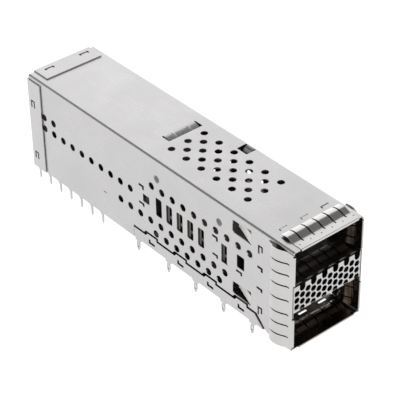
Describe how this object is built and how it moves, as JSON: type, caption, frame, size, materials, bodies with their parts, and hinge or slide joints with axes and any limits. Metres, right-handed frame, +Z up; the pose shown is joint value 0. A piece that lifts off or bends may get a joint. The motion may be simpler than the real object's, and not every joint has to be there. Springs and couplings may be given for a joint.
{
  "type": "stacked transceiver cage",
  "caption": "Long sheet-metal cage for two stacked pluggable optical transceivers, vented walls, spring-finger front gaskets, press-fit pins and a board connector inside.",
  "frame": {"origin": "middle of the cage's length and width on the underside of the bottom plate, which is the board's surface", "axes": "+Y to the rear, away from the port openings; +X to the right seen from the front; +Z up from the board"},
  "size_m": [0.0214, 0.091, 0.0296],
  "materials": {
    "steel": "matte nickel-plated sheet",
    "spring_steel": "bright spring sheet",
    "black_plastic": "moulded black polymer",
    "contact_gold": "gold-plated contact alloy",
    "tin": "tin-plated tails"
  },
  "bodies": {
    "root": {"cage_cover": "steel", "bottom_plate": "steel", "rear_cover": "steel", "upper_divider": "steel", "lower_divider": "steel", "front_vent_plate": "steel", "emi_gasket_top": "spring_steel", "emi_gasket_bottom": "spring_steel", "emi_gasket_left": "spring_steel", "emi_gasket_right": "spring_steel", "upper_port_floor_gasket": "spring_steel", "lower_port_ceiling_gasket": "spring_steel", "connector_housing": "black_plastic", "contacts_lower_bottom": "contact_gold", "contacts_lower_top": "contact_gold", "contacts_upper_bottom": "contact_gold", "contacts_upper_top": "contact_gold", "wafer_1": "black_plastic", "wafer_2": "black_plastic", "wafer_3": "black_plastic", "wafer_4": "black_plastic", "wafer_5": "black_plastic", "wafer_6": "black_plastic", "wafer_7": "black_plastic", "wafer_8": "black_plastic", "tail_comb_1": "tin", "tail_comb_2": "tin", "tail_comb_3": "tin", "tail_comb_4": "tin", "tail_comb_5": "tin", "tail_comb_6": "tin", "tail_comb_7": "tin", "tail_comb_8": "tin", "tail_organizer": "black_plastic"},
    "latch_left_lower": {"latch_left_lower": "steel"},
    "latch_left_upper": {"latch_left_upper": "steel"},
    "latch_right_lower": {"latch_right_lower": "steel"},
    "latch_right_upper": {"latch_right_upper": "steel"}
  },
  "joints": [
    {"name": "latch_left_lower_flex", "type": "hinge", "parent": "root", "child": "latch_left_lower", "pos_m": [-0.0095, -0.03225, 0.0059], "axis": [0, 0, 1], "range_deg": [0, 14], "stiffness_Nm_per_rad": 0.1},
    {"name": "latch_left_upper_flex", "type": "hinge", "parent": "root", "child": "latch_left_upper", "pos_m": [-0.0095, -0.03225, 0.0219], "axis": [0, 0, 1], "range_deg": [0, 14], "stiffness_Nm_per_rad": 0.1},
    {"name": "latch_right_lower_flex", "type": "hinge", "parent": "root", "child": "latch_right_lower", "pos_m": [0.0095, -0.03225, 0.0059], "axis": [0, 0, -1], "range_deg": [0, 14], "stiffness_Nm_per_rad": 0.1},
    {"name": "latch_right_upper_flex", "type": "hinge", "parent": "root", "child": "latch_right_upper", "pos_m": [0.0095, -0.03225, 0.0219], "axis": [0, 0, -1], "range_deg": [0, 14], "stiffness_Nm_per_rad": 0.1}
  ]
}
